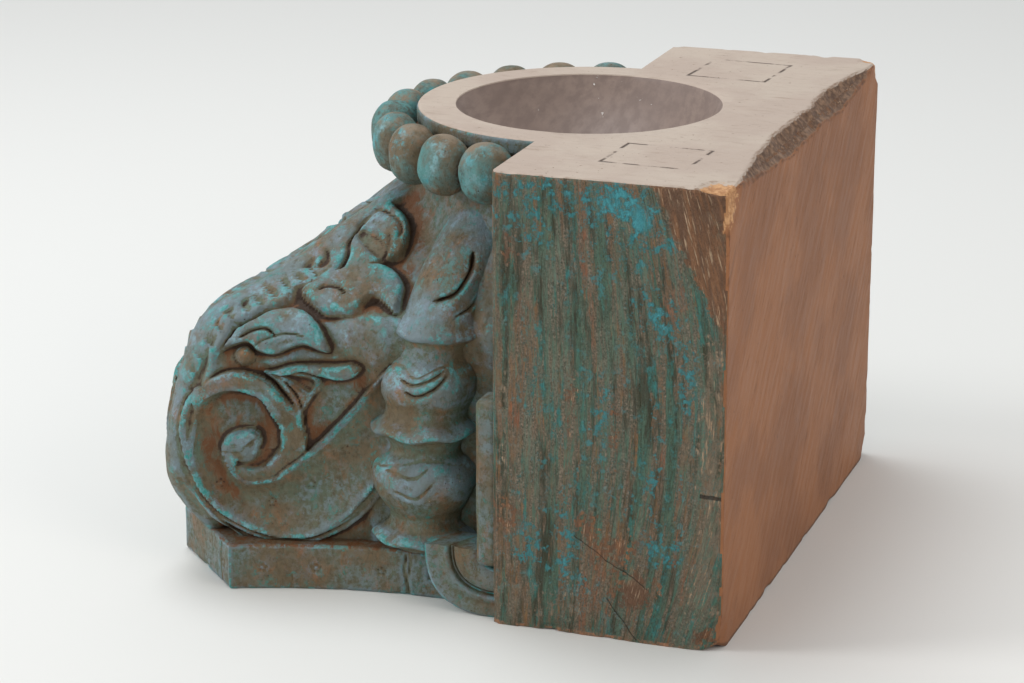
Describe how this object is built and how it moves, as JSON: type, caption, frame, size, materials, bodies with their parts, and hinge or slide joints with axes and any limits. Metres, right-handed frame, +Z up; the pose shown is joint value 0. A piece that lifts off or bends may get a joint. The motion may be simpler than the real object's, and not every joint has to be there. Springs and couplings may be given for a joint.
{
  "type": "carved wooden capital",
  "caption": "Capital carved from solid wood: square wall block with a shallow bowl in its top, bell with corner scrolls, turned tassels, ring of beads and a hollow-sided base slab.",
  "frame": {"origin": "on the floor under the middle of the whole capital's box", "axes": "+Z up, -Y towards the carved front, +Y towards the flat back of the wall block, +X to the right as seen from the front"},
  "size_m": [0.34, 0.3306, 0.25],
  "materials": {
    "worn_painted_teak": "old teal-green paint worn through to brown wood on the carving and sides, bare weathered wood on the top and back"
  },
  "bodies": {
    "root": {"capital": "worn_painted_teak"}
  },
  "joints": []
}
